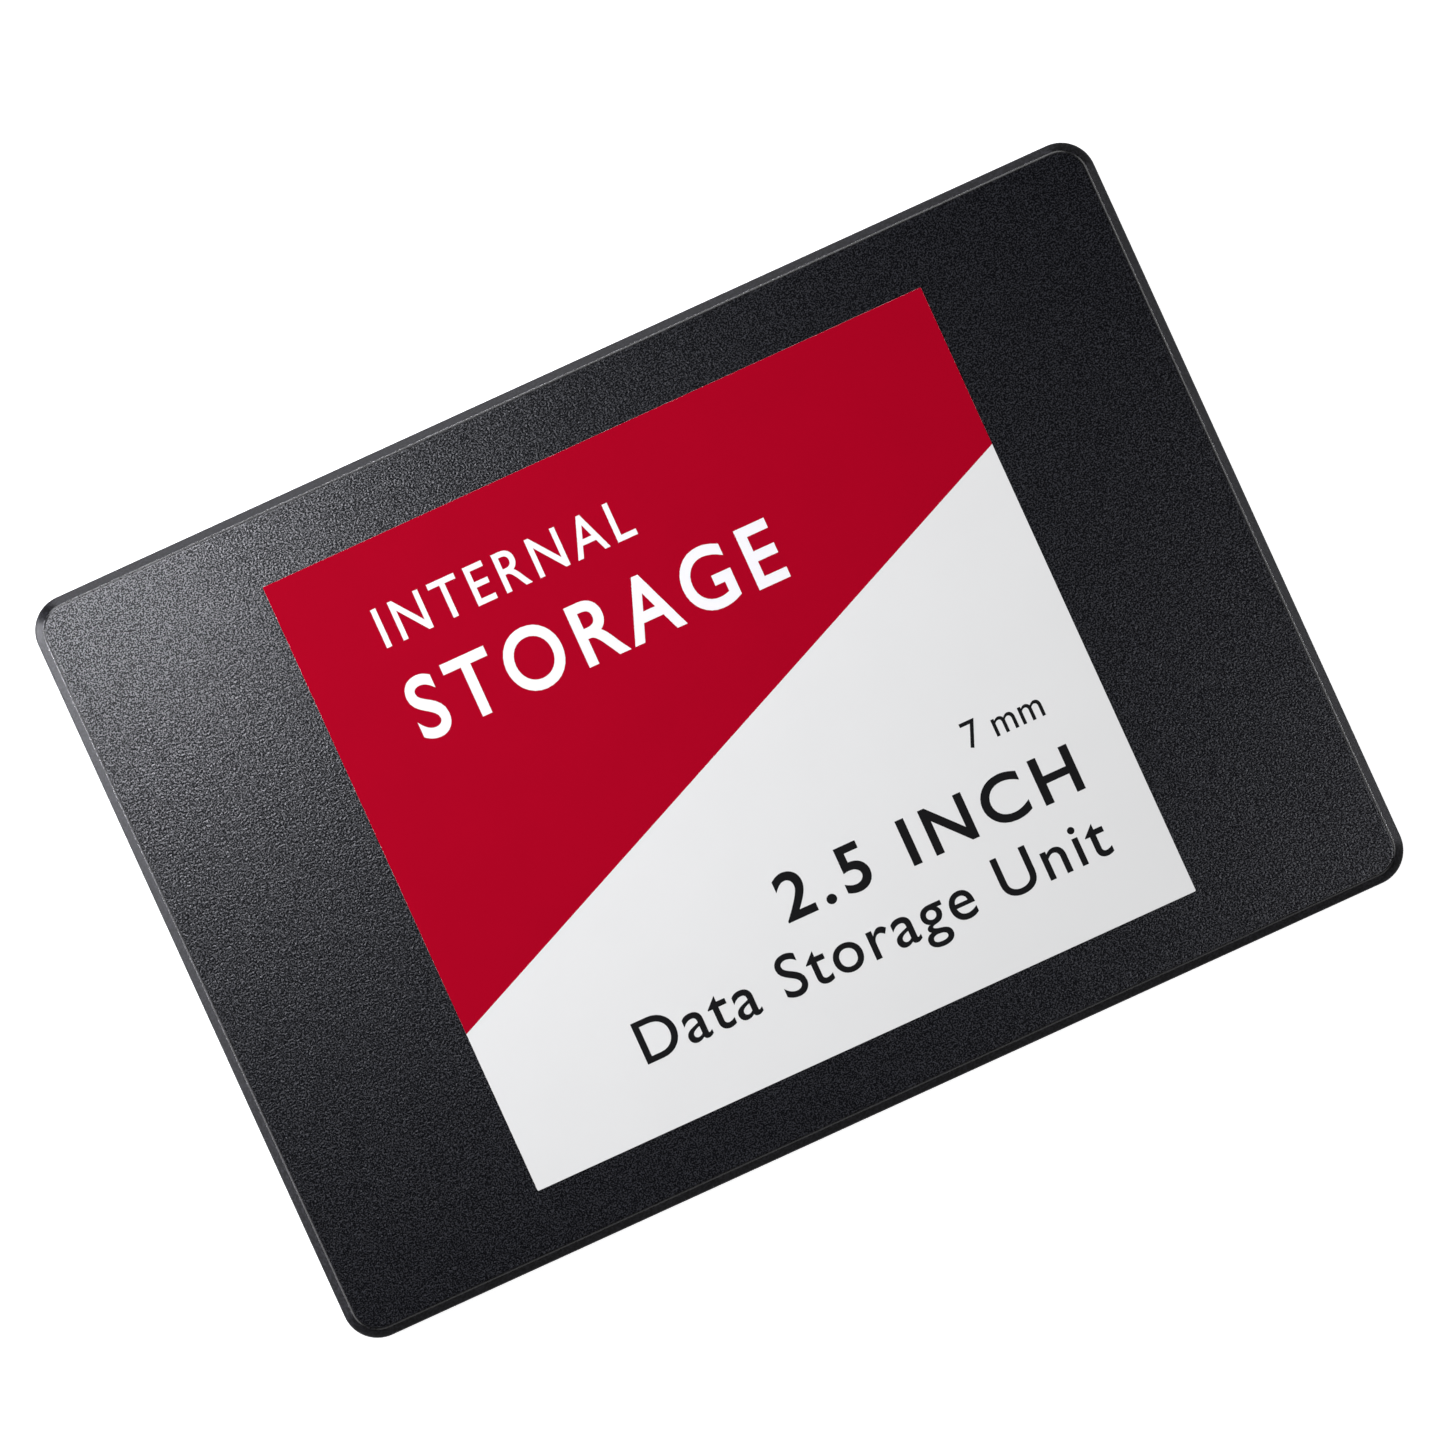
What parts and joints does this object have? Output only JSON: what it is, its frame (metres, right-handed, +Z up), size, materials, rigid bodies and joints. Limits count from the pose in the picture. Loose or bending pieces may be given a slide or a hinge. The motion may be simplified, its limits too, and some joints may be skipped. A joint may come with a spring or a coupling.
{
  "type": "solid state drive",
  "caption": "Flat 2.5-inch solid state drive, 7 mm high, black chamfered shell with a two-tone label and an edge connector recessed in one short end.",
  "frame": {"origin": "middle of the underside, the face the drive lies on with its label up", "axes": "+X along the length towards the connector end, which is also the way the label reads; +Y across the width, towards the top of the label; +Z up through the label"},
  "size_m": [0.1, 0.0698, 0.007],
  "materials": {
    "cover_shell": "matte",
    "case_shell": "matte",
    "label_print": "satin",
    "rear_label_film": "satin",
    "screw_steel": "satin",
    "board_laminate": "satin",
    "connector_plastic": "matte",
    "contact_gold": "polished",
    "lock_tin": "satin",
    "chip_package": "matte",
    "inductor_ferrite": "matte",
    "capacitor_ceramic": "satin",
    "thermal_pad": "matte"
  },
  "bodies": {
    "root": {"top_cover": "cover_shell", "bottom_case": "case_shell", "front_label": "label_print", "rear_label": "rear_label_film", "case_screw_1": "screw_steel", "case_screw_2": "screw_steel", "case_screw_3": "screw_steel", "case_screw_4": "screw_steel", "circuit_board": "board_laminate", "board_screw_1": "screw_steel", "board_screw_2": "screw_steel", "board_screw_3": "screw_steel", "connector_housing": "connector_plastic", "signal_contact_1": "contact_gold", "signal_contact_2": "contact_gold", "signal_contact_3": "contact_gold", "signal_contact_4": "contact_gold", "signal_contact_5": "contact_gold", "signal_contact_6": "contact_gold", "signal_contact_7": "contact_gold", "power_contact_1": "contact_gold", "power_contact_2": "contact_gold", "power_contact_3": "contact_gold", "power_contact_4": "contact_gold", "power_contact_5": "contact_gold", "power_contact_6": "contact_gold", "power_contact_7": "contact_gold", "power_contact_8": "contact_gold", "power_contact_9": "contact_gold", "power_contact_10": "contact_gold", "power_contact_11": "contact_gold", "power_contact_12": "contact_gold", "power_contact_13": "contact_gold", "power_contact_14": "contact_gold", "power_contact_15": "contact_gold", "board_lock_1": "lock_tin", "board_lock_2": "lock_tin", "controller_chip": "chip_package", "buffer_chip": "chip_package", "flash_chip_1": "chip_package", "flash_chip_2": "chip_package", "flash_chip_3": "chip_package", "flash_chip_4": "chip_package", "power_chip": "chip_package", "inductor_1": "inductor_ferrite", "inductor_2": "inductor_ferrite", "crystal": "lock_tin", "capacitor_1": "capacitor_ceramic", "capacitor_2": "capacitor_ceramic", "capacitor_3": "capacitor_ceramic", "capacitor_4": "capacitor_ceramic", "capacitor_5": "capacitor_ceramic", "capacitor_6": "capacitor_ceramic", "capacitor_7": "capacitor_ceramic", "capacitor_8": "capacitor_ceramic", "flash_pad": "thermal_pad", "controller_pad": "thermal_pad"}
  },
  "joints": []
}
